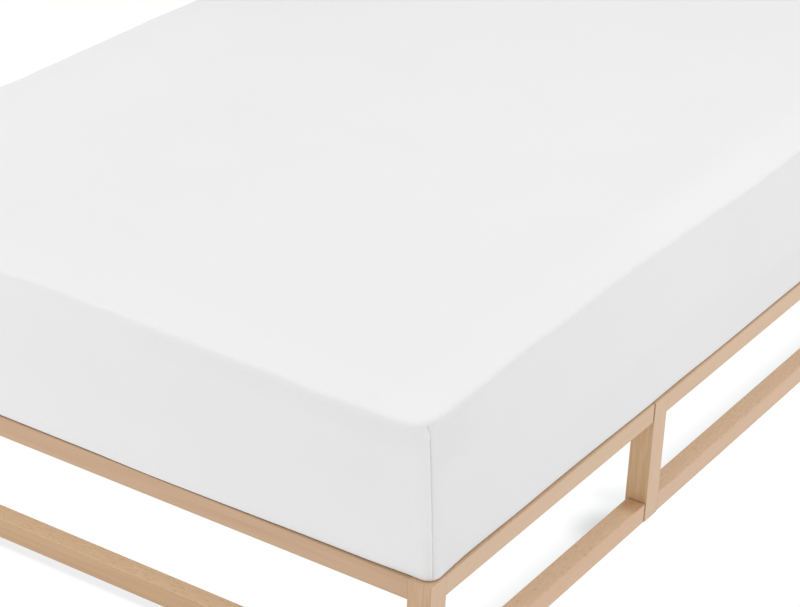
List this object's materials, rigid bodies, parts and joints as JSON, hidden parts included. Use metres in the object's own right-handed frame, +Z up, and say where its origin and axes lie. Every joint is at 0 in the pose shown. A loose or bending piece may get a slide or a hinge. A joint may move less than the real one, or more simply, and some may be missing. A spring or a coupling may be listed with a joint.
{
  "type": "fitted sheet on a mattress and open wooden bed frame",
  "caption": "Plain white fitted sheet stretched smooth over a deep mattress, with sewn corners and the hem turned under, lying on a low open frame of square timber.",
  "frame": {"origin": "on the floor, under the middle of the bed", "axes": "+X along the bed from the foot end, which the picture shows, to the head end; +Y across the bed from the front long side, which the picture shows, to the back; +Z up"},
  "size_m": [2.041, 1.2322, 0.4559],
  "materials": {
    "sheet_cotton": "matt, smooth, closely woven white cotton",
    "mattress_ticking": "matt off-white cover cloth",
    "frame_beech": "light beech, fine grain along each piece, satin",
    "slat_wood": "light unfinished softwood, matt"
  },
  "bodies": {
    "root": {"fitted_sheet": "sheet_cotton", "mattress": "mattress_ticking", "foot_post_front": "frame_beech", "foot_post_back": "frame_beech", "joint_post_front": "frame_beech", "joint_post_back": "frame_beech", "head_post_front": "frame_beech", "head_post_back": "frame_beech", "foot_top_rail_front": "frame_beech", "foot_top_rail_back": "frame_beech", "foot_top_rail_end": "frame_beech", "head_top_rail_front": "frame_beech", "head_top_rail_back": "frame_beech", "head_top_rail_end": "frame_beech", "joint_cross_rail": "frame_beech", "foot_floor_rail_front": "frame_beech", "foot_floor_rail_back": "frame_beech", "foot_floor_rail_end": "frame_beech", "head_floor_rail_front": "frame_beech", "head_floor_rail_back": "frame_beech", "head_floor_rail_end": "frame_beech", "foot_ledge_front": "slat_wood", "foot_ledge_back": "slat_wood", "head_ledge_front": "slat_wood", "head_ledge_back": "slat_wood", "foot_slat_01": "slat_wood", "foot_slat_02": "slat_wood", "foot_slat_03": "slat_wood", "foot_slat_04": "slat_wood", "head_slat_01": "slat_wood", "head_slat_02": "slat_wood", "head_slat_03": "slat_wood", "head_slat_04": "slat_wood", "head_slat_05": "slat_wood", "head_slat_06": "slat_wood", "head_slat_07": "slat_wood", "head_slat_08": "slat_wood"}
  },
  "joints": []
}
